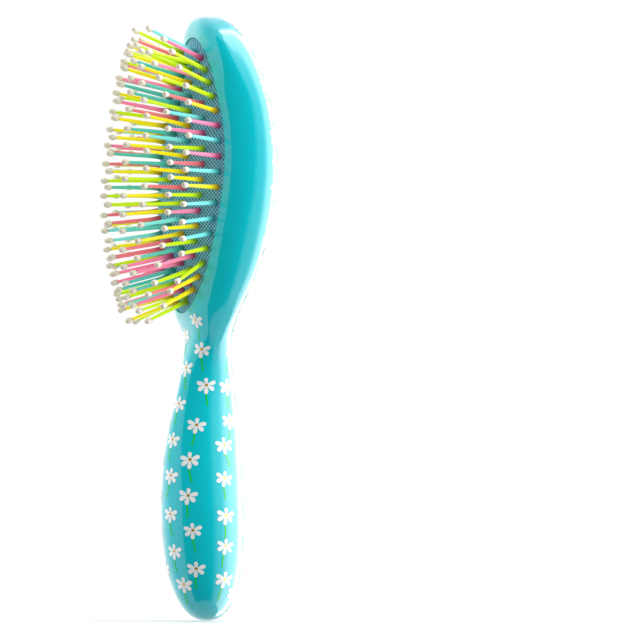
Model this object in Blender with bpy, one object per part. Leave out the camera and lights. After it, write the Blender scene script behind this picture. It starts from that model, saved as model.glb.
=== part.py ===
"""Oval cushion hair brush, in metres, +Z up from the handle to the head.

The brush is one moulded body whose oval head holds a domed rubber cushion faced with mesh.
The pins stand on the cushion towards -Y and sink with it against the air behind it.
The origin is on the handle's axis at its widest place, where the hand holds it.
"""
import math

import bmesh
import bpy
from mathutils import Vector

# Lengths along the brush, each measured on from the one before, starting at the handle's end
GRIP_HEIGHT = 0.0410        # widest place of the handle
TAPER_LENGTH = 0.0498       # on to the neck, the narrowest place seen from the back
THROAT_LENGTH = 0.0152      # on to the waist, the thinnest place seen from the side
CHIN_LENGTH = 0.0100        # on to the foot of the oval opening
OPENING_LENGTH = 0.1040
CROWN_LENGTH = 0.0080       # from the top of the opening to the head's end

NECK_HEIGHT = GRIP_HEIGHT + TAPER_LENGTH
WAIST_HEIGHT = NECK_HEIGHT + THROAT_LENGTH
OPENING_HEIGHT = WAIST_HEIGHT + CHIN_LENGTH + OPENING_LENGTH / 2
BRUSH_LENGTH = OPENING_HEIGHT + OPENING_LENGTH / 2 + CROWN_LENGTH

# Turning places of the head's outlines, from the waist, the opening's middle or the head's end
CHIN_RISE = 0.0120          # the head's front stands furthest forward below the cushion
LEVEL_RISE = 0.0290         # from here up the head's widest line runs straight
HEAD_DROP = 0.0015          # widest place of the head
BACK_RISE = 0.0030          # deepest place of the head's back
FRONT_RISE = 0.0140         # shallowest place of the head's front
BROW_DROP = 0.0155          # the front stands forward again above the cushion

CHIN_HEIGHT = WAIST_HEIGHT + CHIN_RISE
LEVEL_HEIGHT = WAIST_HEIGHT + LEVEL_RISE
HEAD_HEIGHT = OPENING_HEIGHT - HEAD_DROP
BACK_HEIGHT = OPENING_HEIGHT + BACK_RISE
FRONT_HEIGHT = OPENING_HEIGHT + FRONT_RISE
BROW_HEIGHT = BRUSH_LENGTH - BROW_DROP

# Widths across X, and depths from the widest line towards the front or the back
HANDLE_WIDTH = 0.0317
HANDLE_DEPTH = 0.0310
NECK_WIDTH = 0.0165
WAIST_DEPTH = 0.0160
HEAD_WIDTH = 0.0686
BACK_DEPTH = 0.0202
CHIN_DEPTH = 0.0116
FRONT_DEPTH = 0.0053
BROW_DEPTH = 0.0077
HEAD_OFFSET = 0.0037        # the head's widest line lies this far behind the handle's axis
HANDLE_LEAN = 0.0022        # the handle's axis leans back this far at its end

# Fullness of the rounded ends and of the cross sections: 2 is an ellipse, more is squarer
END_FULLNESS = 2.35
CROWN_FULLNESS = 2.1
BACK_ARC_FULLNESS = 1.9
BROW_ARC_FULLNESS = 4.0
HANDLE_FULLNESS = 2.0
HEAD_BACK_FULLNESS = 3.5
HEAD_FRONT_FULLNESS = 3.0

# How far each outline has changed, over its stretch of height, both as shares from 0 to 1
HANDLE_TAPER_SHARES = ((0, 0), (0.14, 0.06), (0.32, 0.22), (0.5, 0.45), (0.68, 0.69), (0.86, 0.92), (1, 1))
SHOULDER_SHARES = (
    (0, 0), (0.09, 0.03), (0.18, 0.15), (0.27, 0.33), (0.36, 0.5),
    (0.51, 0.724), (0.68, 0.883), (0.85, 0.98), (1, 1),
)
THROAT_SHARES = (
    (0, 0), (0.25, 0.07), (0.39, 0.175), (0.52, 0.345), (0.66, 0.56), (0.8, 0.76), (0.9, 0.9), (1, 1),
)
BACK_SWELL_SHARES = (
    (0, 0), (0.09, 0.006), (0.15, 0.035), (0.22, 0.119), (0.29, 0.222), (0.36, 0.332),
    (0.43, 0.453), (0.5, 0.57), (0.64, 0.77), (0.78, 0.9), (0.89, 0.967), (1, 1),
)

# Oval opening in the head's front, with the chamber and the undercut groove behind it
RIM_WIDTH = 0.0063          # from the opening to the head's outline at its widest
OPENING_WIDTH = HEAD_WIDTH - 2 * RIM_WIDTH
LIP_THICKNESS = 0.0016
GROOVE_WIDTH = 0.0024
GROOVE_DEPTH = 0.0015
CHAMBER_FLOOR = 0.0077      # the chamber's floor lies this far behind the handle's axis
CUTTER_OVERRUN = 0.0040

# Rubber cushion
CLEARANCE = 0.0003          # gap kept between neighbouring pieces
SEAT_DEPTH = 0.0011         # the cushion's edge lies this far behind the rim's edge
CUSHION_RISE = 0.0162       # crown of the dome in front of its edge
CUSHION_THICKNESS = 0.0022
CUSHION_ROUNDNESS_SHARE = 0.25
BEAD_INSET = 0.0007         # the fixed bead shows this much inside the opening
PAD_END_CLEARANCE = 0.0004

# Pins, in staggered files that follow the oval
PIN_FIELD_DROP = 0.0011     # middle of the field, below the middle of the opening
PIN_END_MARGIN = 0.0063     # what the field leaves free at each end of the opening
PIN_FIELD_HEIGHT = OPENING_HEIGHT - PIN_FIELD_DROP
PIN_FIELD_LENGTH = OPENING_LENGTH - 2 * PIN_END_MARGIN
ROW_PITCH = 0.0054
PIN_ROWS = round(PIN_FIELD_LENGTH / ROW_PITCH) + 1
PIN_MARGIN = 0.0028         # outer pins stand this far inside the opening's edge
PIN_LENGTH = 0.0210         # cushion to the middle of the ball tip
PIN_FOOT_DIAMETER = 0.0023
PIN_ROOT_DIAMETER = 0.0017
PIN_ROOT_LENGTH = 0.0020
PIN_END_DIAMETER = 0.0010
PIN_SINK = 0.0005
BALL_DIAMETER = 0.0023
BALL_LENGTH = 0.0026
BALL_POINT_SHARE = 0.5
LEAN_ACROSS = math.radians(34)
LEAN_ALONG = math.radians(20)
LEAN_GROWTH = 1.3
CROWDING_SHARE = 0.09       # rows stand closer together towards the oval's ends
FULL_ROW_SHARES = (-1, -0.5, 0, 0.5, 1)
GAP_ROW_SHARES = (-0.75, -0.25, 0.25, 0.75)
LEAN_SHARES = {0: 0, 0.25: 0.456, 0.5: 0.794, 0.75: 1, 1: 1}

# Counts of facets
SECTION_SIDES = 36
END_RINGS = 7
MIDDLE_RINGS = 34
TIP_RINGS = 7
OPENING_SIDES = 48
PAD_SPANS = 12
SLICE_STEPS = 1
END_SLICE_STEPS = 4
PIN_SIDES = 5
SMOOTH_ANGLE = math.radians(40)

# Colours, as sRGB hex values, with roughness
BODY_TURQUOISE = (0x1FCBDC, 0.12)
RUBBER_TEAL = (0x0E5A6C, 0.7)
MESH_TEAL = (0x5AA7BC, 0.85)
TIP_CREAM = (0xF5F0E6, 0.3)
PIN_COLOURS = {
    "yellow": (0xF5E600, 0.35),
    "lime": (0xC8F000, 0.35),
    "pink": (0xFF6F9F, 0.35),
    "teal": (0x3FB8B0, 0.35),
}
PIN_COLOUR_ORDER = (
    "pink", "lime", "lime", "lime", "yellow", "pink", "teal", "pink", "teal",
    "yellow", "teal", "teal", "teal", "lime", "lime", "yellow", "yellow", "lime",
)
FILE_COLOUR_STEP = 5


def clear_scene():
    for item in list(bpy.data.objects):
        bpy.data.objects.remove(item, do_unlink=True)


# Curves and outlines

def between(start, end, share):
    return start + (end - start) * share


def eased(share):
    return (1 - math.cos(math.pi * share)) / 2


def arc(share, fullness):
    """Half a superellipse, from 1 at its middle to 0 at its end."""
    return max(0.0, 1 - min(share, 1.0) ** fullness) ** (1 / fullness)


def slope_at(points, index):
    """Slope of a table's curve at one of its points; both its ends run level."""
    if index in (0, len(points) - 1):
        return 0
    low, high = points[index - 1], points[index + 1]
    return (high[1] - low[1]) / (high[0] - low[0])


def curve_through(points, share):
    """Smooth curve through a table of (share, value) pairs."""
    index = 0
    while index < len(points) - 2 and share > points[index + 1][0]:
        index += 1
    (x0, y0), (x1, y1) = points[index], points[index + 1]
    span = x1 - x0
    t = (share - x0) / span
    bend_out = slope_at(points, index) * span
    bend_in = slope_at(points, index + 1) * span
    cube = t ** 3
    square = t ** 2
    return (
        (2 * cube - 3 * square + 1) * y0 + (cube - 2 * square + t) * bend_out
        + (3 * square - 2 * cube) * y1 + (cube - square) * bend_in
    )


def half_width(height):
    if height <= GRIP_HEIGHT:
        return HANDLE_WIDTH / 2 * arc((GRIP_HEIGHT - height) / GRIP_HEIGHT, END_FULLNESS)
    if height <= NECK_HEIGHT:
        share = (height - GRIP_HEIGHT) / (NECK_HEIGHT - GRIP_HEIGHT)
        return between(HANDLE_WIDTH, NECK_WIDTH, curve_through(HANDLE_TAPER_SHARES, share)) / 2
    if height <= HEAD_HEIGHT:
        share = (height - NECK_HEIGHT) / (HEAD_HEIGHT - NECK_HEIGHT)
        return between(NECK_WIDTH, HEAD_WIDTH, curve_through(SHOULDER_SHARES, share)) / 2
    return HEAD_WIDTH / 2 * arc((height - HEAD_HEIGHT) / (BRUSH_LENGTH - HEAD_HEIGHT), CROWN_FULLNESS)


def handle_depth(height):
    """Half the depth of the handle and neck, the same to the front and the back."""
    if height <= GRIP_HEIGHT:
        return HANDLE_DEPTH / 2 * arc((GRIP_HEIGHT - height) / GRIP_HEIGHT, END_FULLNESS)
    share = (height - GRIP_HEIGHT) / (WAIST_HEIGHT - GRIP_HEIGHT)
    return between(HANDLE_DEPTH, WAIST_DEPTH, curve_through(THROAT_SHARES, share)) / 2


def back_depth(height):
    if height <= WAIST_HEIGHT:
        return handle_depth(height)
    if height <= BACK_HEIGHT:
        share = (height - WAIST_HEIGHT) / (BACK_HEIGHT - WAIST_HEIGHT)
        return between(WAIST_DEPTH / 2, BACK_DEPTH, curve_through(BACK_SWELL_SHARES, share))
    return BACK_DEPTH * arc((height - BACK_HEIGHT) / (BRUSH_LENGTH - BACK_HEIGHT), BACK_ARC_FULLNESS)


def front_depth(height):
    if height <= WAIST_HEIGHT:
        return handle_depth(height)
    if height <= CHIN_HEIGHT:
        share = (height - WAIST_HEIGHT) / (CHIN_HEIGHT - WAIST_HEIGHT)
        return between(WAIST_DEPTH / 2, CHIN_DEPTH, eased(share))
    if height <= FRONT_HEIGHT:
        share = (height - CHIN_HEIGHT) / (FRONT_HEIGHT - CHIN_HEIGHT)
        return between(CHIN_DEPTH, FRONT_DEPTH, eased(share))
    if height <= BROW_HEIGHT:
        share = (height - FRONT_HEIGHT) / (BROW_HEIGHT - FRONT_HEIGHT)
        return between(FRONT_DEPTH, BROW_DEPTH, eased(share))
    return BROW_DEPTH * arc((height - BROW_HEIGHT) / (BRUSH_LENGTH - BROW_HEIGHT), BROW_ARC_FULLNESS)


def widest_line(height):
    """Y of the section's widest line: the leaning axis of the handle, then eased back to the head's."""
    share = (height - GRIP_HEIGHT) / (LEVEL_HEIGHT - GRIP_HEIGHT)
    lean = HANDLE_LEAN * max(1 - height / WAIST_HEIGHT, 0) ** 3
    return lean + HEAD_OFFSET * eased(min(max(share, 0), 1))


def front_fullness(height):
    """The section's front grows squarer from the neck up to the chin."""
    share = (height - NECK_HEIGHT) / (CHIN_HEIGHT - NECK_HEIGHT)
    return between(HANDLE_FULLNESS, HEAD_FRONT_FULLNESS, min(max(share, 0), 1))


def back_fullness(height):
    """The section's back grows squarer from the waist up to the level height."""
    share = (height - WAIST_HEIGHT) / (LEVEL_HEIGHT - WAIST_HEIGHT)
    return between(HANDLE_FULLNESS, HEAD_BACK_FULLNESS, eased(min(max(share, 0), 1)))


def front_level(x, height):
    """Y of the body's front skin, as if the opening were not there."""
    drop = arc(abs(x) / half_width(height), front_fullness(height))
    return widest_line(height) - front_depth(height) * drop


def section_point(height, angle):
    """A point of the body's cross section; the angle runs from +X over the back."""
    across, away = math.cos(angle), math.sin(angle)
    if away >= 0:
        depth = back_depth(height)
        fullness = back_fullness(height)
    else:
        depth = front_depth(height)
        fullness = front_fullness(height)
    x = half_width(height) * math.copysign(abs(across) ** (2 / fullness), across)
    y = widest_line(height) + depth * math.copysign(abs(away) ** (2 / fullness), away)
    return Vector((x, y, height - GRIP_HEIGHT))


def oval_half_width(height, inset):
    """Half the width, at one height, of the opening's oval drawn in by an inset."""
    share = (height - OPENING_HEIGHT) / (OPENING_LENGTH / 2 - inset)
    return (OPENING_WIDTH / 2 - inset) * math.sqrt(max(0.0, 1 - share ** 2))


def oval_point(angle, inset):
    """X and height of a point on the opening's oval drawn in by an inset."""
    x = (OPENING_WIDTH / 2 - inset) * math.cos(angle)
    return x, OPENING_HEIGHT + (OPENING_LENGTH / 2 - inset) * math.sin(angle)


def rim_level(height):
    """Y of the opening's edge at one height."""
    return front_level(oval_half_width(height, 0), height)


def roof(share):
    """Cross profile of the dome: a rounded ridge with straight flanks, 1 to 0."""
    round_off = CUSHION_ROUNDNESS_SHARE
    full_drop = math.hypot(round_off, 1) - round_off
    return 1 - (math.hypot(round_off, share) - round_off) / full_drop


def cushion_level(x, height):
    """Y of the cushion's outer face."""
    along = (height - OPENING_HEIGHT) / (OPENING_LENGTH / 2)
    edge = max(oval_half_width(height, 0), CLEARANCE)
    rise = CUSHION_RISE * (1 - along ** 2) * roof(min(abs(x) / edge, 1))
    return rim_level(height) + SEAT_DEPTH - rise


# Meshes and materials

def to_linear(hex_value):
    channels = [(hex_value >> shift & 0xFF) / 0xFF for shift in (16, 8, 0)]
    return [c / 12.92 if c <= 0.04045 else ((c + 0.055) / 1.055) ** 2.4 for c in channels]


def make_material(name, finish):
    hex_value, roughness = finish
    material = bpy.data.materials.new(name)
    material.use_nodes = True
    shader = material.node_tree.nodes["Principled BSDF"]
    shader.inputs["Base Color"].default_value = (*to_linear(hex_value), 1)
    shader.inputs["Roughness"].default_value = roughness
    shader.inputs["Metallic"].default_value = 0
    material.diffuse_color = (*to_linear(hex_value), 1)
    return material


def add_object(name, form, materials):
    """Turn a bmesh into a named object with its faces pointing out."""
    bmesh.ops.recalc_face_normals(form, faces=form.faces)
    mesh = bpy.data.meshes.new(name)
    form.to_mesh(mesh)
    form.free()
    mesh.shade_smooth()
    mesh.set_sharp_from_angle(angle=SMOOTH_ANGLE)
    for material in materials:
        mesh.materials.append(material)
    item = bpy.data.objects.new(name, mesh)
    bpy.context.collection.objects.link(item)
    return item


def hide_tool(item):
    item.hide_render = True
    item.display_type = "WIRE"


def add_boolean(item, tool, operation):
    hide_tool(tool)
    modifier = item.modifiers.new(tool.name, "BOOLEAN")
    modifier.operation = operation
    modifier.object = tool


def join_rings(form, rings, closed=False):
    """Bridge each ring of points to the next; closed also joins the last to the first."""
    loops = [[form.verts.new(point) for point in ring] for ring in rings]
    pairs = list(zip(loops, loops[1:]))
    if closed:
        pairs.append((loops[-1], loops[0]))
    faces = []
    for lower, upper in pairs:
        for index in range(len(lower)):
            following = (index + 1) % len(lower)
            corners = (lower[index], lower[following], upper[following], upper[index])
            faces.append(form.faces.new(corners))
    return loops, faces


# Body

def body_heights():
    quarter = math.pi / 2
    end = [GRIP_HEIGHT * (1 - math.cos(quarter * (i + 1) / END_RINGS)) for i in range(END_RINGS)]
    middle = [between(GRIP_HEIGHT, BROW_HEIGHT, (i + 1) / MIDDLE_RINGS) for i in range(MIDDLE_RINGS)]
    turns = [quarter * (i + 1) / TIP_RINGS for i in range(TIP_RINGS - 1)]
    tip = [between(BROW_HEIGHT, BRUSH_LENGTH, math.sin(turn)) for turn in turns]
    return end + middle + tip


def cap_with_point(form, loop, point):
    pole = form.verts.new(point)
    for index, corner in enumerate(loop):
        form.faces.new((pole, corner, loop[(index + 1) % len(loop)]))


def chamber_tool():
    form = bmesh.new()
    angles = [2 * math.pi * i / OPENING_SIDES for i in range(OPENING_SIDES)]
    outline = [oval_point(angle, 0) for angle in angles]
    front = -(CHIN_DEPTH + CUTTER_OVERRUN)
    rings = [[(x, y, height - GRIP_HEIGHT) for x, height in outline] for y in (front, CHAMBER_FLOOR)]
    loops, _ = join_rings(form, rings)
    for loop in loops:
        form.faces.new(loop)
    return add_object("chamber_tool", form, [])


def sweep_round_opening(name, section, materials):
    """Close a section of (inset, y) points round the opening's oval."""
    form = bmesh.new()
    rings = []
    for index in range(OPENING_SIDES):
        angle = 2 * math.pi * index / OPENING_SIDES
        ring = []
        for inset, y in section(angle):
            x, height = oval_point(angle, inset)
            ring.append((x, y, height - GRIP_HEIGHT))
        rings.append(ring)
    join_rings(form, rings, closed=True)
    return add_object(name, form, materials)


def groove_section(angle):
    front = rim_level(oval_point(angle, 0)[1]) + LIP_THICKNESS
    back = front + GROOVE_WIDTH
    return (CUTTER_OVERRUN, front), (-GROOVE_DEPTH, front), (-GROOVE_DEPTH, back), (CUTTER_OVERRUN, back)


def make_handle_body():
    form = bmesh.new()
    angles = [2 * math.pi * i / SECTION_SIDES for i in range(SECTION_SIDES)]
    rings = [[section_point(height, angle) for angle in angles] for height in body_heights()]
    loops, _ = join_rings(form, rings)
    cap_with_point(form, loops[0], (0, widest_line(0), -GRIP_HEIGHT))
    cap_with_point(form, loops[-1], (0, widest_line(BRUSH_LENGTH), BRUSH_LENGTH - GRIP_HEIGHT))
    body = add_object("handle_body", form, [make_material("lacquered_turquoise", BODY_TURQUOISE)])
    add_boolean(body, chamber_tool(), "DIFFERENCE")
    add_boolean(body, sweep_round_opening("groove_tool", groove_section, []), "DIFFERENCE")
    return body


# Cushion bead, held in the groove

def bead_section(angle):
    x, height = oval_point(angle, BEAD_INSET)
    rim = rim_level(oval_point(angle, 0)[1])
    front = rim + LIP_THICKNESS + CLEARANCE
    back = rim + LIP_THICKNESS + GROOVE_WIDTH - CLEARANCE
    return (
        (BEAD_INSET, cushion_level(x, height)),
        (CLEARANCE, rim + SEAT_DEPTH),
        (CLEARANCE, front),
        (CLEARANCE - GROOVE_DEPTH, front),
        (CLEARANCE - GROOVE_DEPTH, back),
        (BEAD_INSET, back),
    )


def make_cushion_bead():
    return sweep_round_opening("cushion_bead", bead_section, [make_material("rubber_teal", RUBBER_TEAL)])


# Rows of pins, each on its slice of the cushion

def row_height(position):
    """Height of a place along the pin field, from -1 at its bottom to 1 at its top."""
    share = position * (1 + CROWDING_SHARE * (1 - position ** 2))
    return PIN_FIELD_HEIGHT + PIN_FIELD_LENGTH / 2 * share


def slice_heights(row):
    """Lower and upper edge of a row's slice of the cushion, from the bottom."""
    step = 2 / (PIN_ROWS - 1)
    end = OPENING_LENGTH / 2 - BEAD_INSET - CLEARANCE - PAD_END_CLEARANCE
    position = 1 - step * row
    low = row_height(position - step / 4) + CLEARANCE / 2
    high = row_height(position + 3 * step / 4) - CLEARANCE / 2
    if row == PIN_ROWS - 1:
        low = OPENING_HEIGHT - end
    if row == 0:
        high = OPENING_HEIGHT + end
    return low, high


def make_slice(row, materials):
    low, high = slice_heights(row)
    steps = END_SLICE_STEPS if row in (0, PIN_ROWS - 1) else SLICE_STEPS
    form = bmesh.new()
    rings = []
    for index in range(steps + 1):
        height = between(low, high, index / steps)
        if row == 0:
            height = between(low, high, math.sin(math.pi / 2 * index / steps))
        if row == PIN_ROWS - 1:
            height = between(high, low, math.sin(math.pi / 2 * index / steps))
        reach = oval_half_width(height, BEAD_INSET + CLEARANCE)
        places = [between(-reach, reach, i / PAD_SPANS) for i in range(PAD_SPANS + 1)]
        outer = [(x, cushion_level(x, height), height - GRIP_HEIGHT) for x in places]
        inner = [(x, y + CUSHION_THICKNESS, z) for x, y, z in reversed(outer)]
        rings.append(outer + inner)
    loops, _ = join_rings(form, rings)
    for loop in (loops[0], loops[-1]):
        form.faces.new(loop)
    return add_object(f"pin_row_{row + 1:02d}", form, materials)


def pin_direction(share, height):
    across = LEAN_ACROSS * math.copysign(LEAN_SHARES[abs(share)], share)
    place = (height - PIN_FIELD_HEIGHT) / (PIN_FIELD_LENGTH / 2)
    along = LEAN_ALONG * math.copysign(abs(place) ** LEAN_GROWTH, place)
    return Vector((
        math.cos(along) * math.sin(across),
        -math.cos(along) * math.cos(across),
        math.sin(along),
    ))


def add_pin(form, share, height, colour_index):
    x = share * oval_half_width(height, PIN_MARGIN)
    foot = Vector((x, cushion_level(x, height), height - GRIP_HEIGHT))
    direction = pin_direction(share, height)
    turn = direction.to_track_quat("Z", "Y")
    stations = (
        (-PIN_SINK, PIN_FOOT_DIAMETER),
        (PIN_ROOT_LENGTH, PIN_ROOT_DIAMETER),
        (PIN_LENGTH - BALL_LENGTH / 2, PIN_END_DIAMETER),
        (PIN_LENGTH, BALL_DIAMETER),
        (PIN_LENGTH + BALL_LENGTH / 2, BALL_DIAMETER * BALL_POINT_SHARE),
    )
    rings = []
    for distance, diameter in stations:
        corners = []
        for side in range(PIN_SIDES):
            angle = 2 * math.pi * side / PIN_SIDES
            arm = Vector((math.cos(angle), math.sin(angle), 0)) * diameter / 2
            corners.append(foot + direction * distance + turn @ arm)
        rings.append(corners)
    loops, faces = join_rings(form, rings)
    ends = [form.faces.new(loop) for loop in (loops[0], loops[-1])]
    shaft_faces = 2 * PIN_SIDES
    for face in faces[:shaft_faces]:
        face.material_index = colour_index
    for face in faces[shaft_faces:] + ends:
        face.material_index = 1


def make_pin_row(row, materials):
    slab = make_slice(row, materials)
    form = bmesh.new()
    step = 2 / (PIN_ROWS - 1)
    position = 1 - step * row
    files = [(share, row_height(position)) for share in FULL_ROW_SHARES]
    files += [(share, row_height(position + step / 2)) for share in GAP_ROW_SHARES]
    names = list(PIN_COLOURS)
    for index, (share, height) in enumerate(files):
        colour = PIN_COLOUR_ORDER[(row + FILE_COLOUR_STEP * index) % len(PIN_COLOUR_ORDER)]
        add_pin(form, share, height, 2 + names.index(colour))
    pins = add_object(f"pins_tool_{row + 1:02d}", form, materials)
    add_boolean(slab, pins, "UNION")
    return slab


def build():
    clear_scene()
    make_handle_body()
    make_cushion_bead()
    materials = [make_material("mesh_teal", MESH_TEAL), make_material("tip_cream", TIP_CREAM)]
    materials += [make_material(f"nylon_{name}", finish) for name, finish in PIN_COLOURS.items()]
    for row in range(PIN_ROWS):
        make_pin_row(row, materials)


build()
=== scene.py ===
"""Dresses the oval cushion brush: lacquered body, printed flowers, mesh-faced cushion and nylon pins.

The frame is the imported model's: metres, +Z from the handle up to the head, pins towards -Y, and the
origin on the handle's axis at its widest place. Heights are measured from the handle's end.
"""
import math
import random

import bmesh
import bpy
from mathutils import Matrix, Vector
from mathutils.bvhtree import BVHTree
from mathutils.geometry import delaunay_2d_cdt


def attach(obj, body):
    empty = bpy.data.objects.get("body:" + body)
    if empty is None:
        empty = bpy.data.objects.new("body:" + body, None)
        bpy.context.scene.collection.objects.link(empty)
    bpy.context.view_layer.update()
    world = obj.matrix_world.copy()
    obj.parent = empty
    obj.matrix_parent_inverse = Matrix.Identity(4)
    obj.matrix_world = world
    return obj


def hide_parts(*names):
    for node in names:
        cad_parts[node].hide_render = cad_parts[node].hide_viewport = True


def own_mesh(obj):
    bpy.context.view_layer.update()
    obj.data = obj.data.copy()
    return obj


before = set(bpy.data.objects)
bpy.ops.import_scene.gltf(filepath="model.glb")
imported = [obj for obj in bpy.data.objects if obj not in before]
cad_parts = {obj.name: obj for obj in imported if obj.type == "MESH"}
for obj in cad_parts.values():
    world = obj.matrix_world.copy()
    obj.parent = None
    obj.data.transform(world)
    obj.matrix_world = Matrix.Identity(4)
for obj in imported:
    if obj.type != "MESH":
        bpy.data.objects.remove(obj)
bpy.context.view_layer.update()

# Brush body. One injection moulding from the crown of the head to the handle's end, sprayed turquoise
# and dipped in clear lacquer. Its sections are superellipses that change all the way up, which no
# operator draws, so the rings of a sphere are set on them; the cushion's opening is then cut out.

GRIP_HEIGHT = 0.0410
NECK_HEIGHT = 0.0908
WAIST_HEIGHT = 0.1060
CHIN_HEIGHT = 0.1180
LEVEL_HEIGHT = 0.1350
HEAD_HEIGHT = 0.1665
OPENING_HEIGHT = 0.1680
BACK_HEIGHT = 0.1710
FRONT_HEIGHT = 0.1820
BROW_HEIGHT = 0.2125
BRUSH_LENGTH = 0.2280
HANDLE_WIDTH = 0.0317
HANDLE_DEPTH = 0.0310
NECK_WIDTH = 0.0165
WAIST_DEPTH = 0.0160
HEAD_WIDTH = 0.0686
BACK_DEPTH = 0.0202
BROW_DEPTH = 0.0077
FRONT_DEPTHS = (
    (WAIST_HEIGHT, WAIST_DEPTH / 2), (CHIN_HEIGHT, 0.0116), (FRONT_HEIGHT, 0.0053), (BROW_HEIGHT, BROW_DEPTH),
)
HEAD_OFFSET = 0.0037
HANDLE_LEAN = 0.0022
END_FULLNESS = 2.35
CROWN_FULLNESS = 2.1
BACK_ARC_FULLNESS = 1.9
BROW_ARC_FULLNESS = 4.0
HANDLE_FULLNESS = 2.0
HEAD_BACK_FULLNESS = 3.5
HEAD_FRONT_FULLNESS = 3.0
FLANK_FULLNESS = 1.9
FLANK_ONSET = 1.3
FLANK_SET_BACK = 0.0073
SLACK_EASE = 0.3
FLANK_SHARES = (
    (0, 0), (0.09, 0.24), (0.25, 0.45), (0.37, 0.64), (0.5, 0.9), (0.62, 1), (0.74, 0.86), (0.89, 0.2),
    (1, 0),
)
HANDLE_TAPER_SHARES = ((0, 0), (0.14, 0.06), (0.32, 0.22), (0.5, 0.45), (0.68, 0.69), (0.86, 0.92), (1, 1))
SHOULDER_SHARES = (
    (0, 0), (0.09, 0.03), (0.18, 0.15), (0.27, 0.33), (0.36, 0.5),
    (0.51, 0.724), (0.68, 0.883), (0.85, 0.98), (1, 1),
)
THROAT_SHARES = (
    (0, 0), (0.25, 0.07), (0.39, 0.175), (0.52, 0.345), (0.66, 0.56), (0.8, 0.76), (0.9, 0.9), (1, 1),
)
BACK_SWELL_SHARES = (
    (0, 0), (0.09, 0.006), (0.15, 0.035), (0.22, 0.119), (0.29, 0.222), (0.36, 0.332),
    (0.43, 0.453), (0.5, 0.57), (0.64, 0.77), (0.78, 0.9), (0.89, 0.967), (1, 1),
)
RIM_FULL_EDGE = 0.0210
RIM_WIDTH = 0.0032
RIM_SLOPE = 36
RIM_SOFTNESS = 0.0002
BODY_SIDES = 160
BODY_RINGS = 190
SKIN_GAP = 0.00001
CREASE_ANGLE = math.radians(35)

OPENING_WIDTH = 0.0560
OPENING_LENGTH = 0.1040
OPENING_SIDES = 128
LIP_RADIUS = 0.0004
LIP_STEPS = 4
LIP_TURN = math.radians(70)
LIP_THICKNESS = 0.0016
GROOVE_WIDTH = 0.0024
GROOVE_DEPTH = 0.0015
CHAMBER_FLOOR = 0.0077
PLUG_FRONT = -0.0300
PLUG_CLEARANCE = 0.0010

TURQUOISE = 0x06CBD8
LACQUER_IOR = 1.7
GLOSS_FACE_ON = 0.21


def between(start, end, share):
    return start + (end - start) * share


def share_of(height, low, high):
    """Where a height lies on the way from one height to another."""
    return (height - low) / (high - low)


def clamped(share):
    return min(max(share, 0), 1)


def eased(share):
    return (1 - math.cos(math.pi * clamped(share))) / 2


def arc(share, fullness):
    """Half a superellipse, from 1 at its middle to 0 at its end."""
    return max(0.0, 1 - min(share, 1.0) ** fullness) ** (1 / fullness)


def slope_at(points, index):
    """Slope of a table's curve at one of its points; both its ends run level."""
    if index in (0, len(points) - 1):
        return 0
    low, high = points[index - 1], points[index + 1]
    return (high[1] - low[1]) / (high[0] - low[0])


def curve_through(points, share):
    """Smooth curve through a table of (share, value) pairs."""
    index = 0
    while index < len(points) - 2 and share > points[index + 1][0]:
        index += 1
    (x0, y0), (x1, y1) = points[index], points[index + 1]
    span = x1 - x0
    t = (share - x0) / span
    cube, square = t ** 3, t ** 2
    bend_out = slope_at(points, index) * span
    bend_in = slope_at(points, index + 1) * span
    return (
        (2 * cube - 3 * square + 1) * y0 + (cube - 2 * square + t) * bend_out
        + (3 * square - 2 * cube) * y1 + (cube - square) * bend_in
    )


def full_turn(count):
    """The angles of a whole turn in equal steps."""
    return [math.tau * index / count for index in range(count)]


def direction(turn, rise=0):
    """A unit vector: its turn runs from -Y towards +X, its rise towards +Z."""
    return Vector((math.sin(turn) * math.cos(rise), -math.cos(turn) * math.cos(rise), math.sin(rise)))


def oval_point(angle, inset, share=1):
    """X and height of a point on the opening's oval, drawn in by an inset and shrunk to a share."""
    x = (OPENING_WIDTH / 2 - inset) * share * math.cos(angle)
    return x, OPENING_HEIGHT + (OPENING_LENGTH / 2 - inset) * share * math.sin(angle)


def oval_half_width(height, inset=0):
    """Half the opening's width at a height, drawn in by an inset."""
    share = (height - OPENING_HEIGHT) / (OPENING_LENGTH / 2 - inset)
    return (OPENING_WIDTH / 2 - inset) * math.sqrt(max(0.0, 1 - share ** 2))


def half_width(height):
    if height <= GRIP_HEIGHT:
        return HANDLE_WIDTH / 2 * arc(share_of(height, GRIP_HEIGHT, 0), END_FULLNESS)
    if height <= NECK_HEIGHT:
        taper = curve_through(HANDLE_TAPER_SHARES, share_of(height, GRIP_HEIGHT, NECK_HEIGHT))
        return between(HANDLE_WIDTH, NECK_WIDTH, taper) / 2
    if height <= HEAD_HEIGHT:
        widening = curve_through(SHOULDER_SHARES, share_of(height, NECK_HEIGHT, HEAD_HEIGHT))
        return between(NECK_WIDTH, HEAD_WIDTH, widening) / 2
    return HEAD_WIDTH / 2 * arc(share_of(height, HEAD_HEIGHT, BRUSH_LENGTH), CROWN_FULLNESS)


def handle_depth(height):
    if height <= GRIP_HEIGHT:
        return HANDLE_DEPTH / 2 * arc(share_of(height, GRIP_HEIGHT, 0), END_FULLNESS)
    thinning = curve_through(THROAT_SHARES, share_of(height, GRIP_HEIGHT, WAIST_HEIGHT))
    return between(HANDLE_DEPTH, WAIST_DEPTH, thinning) / 2


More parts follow.
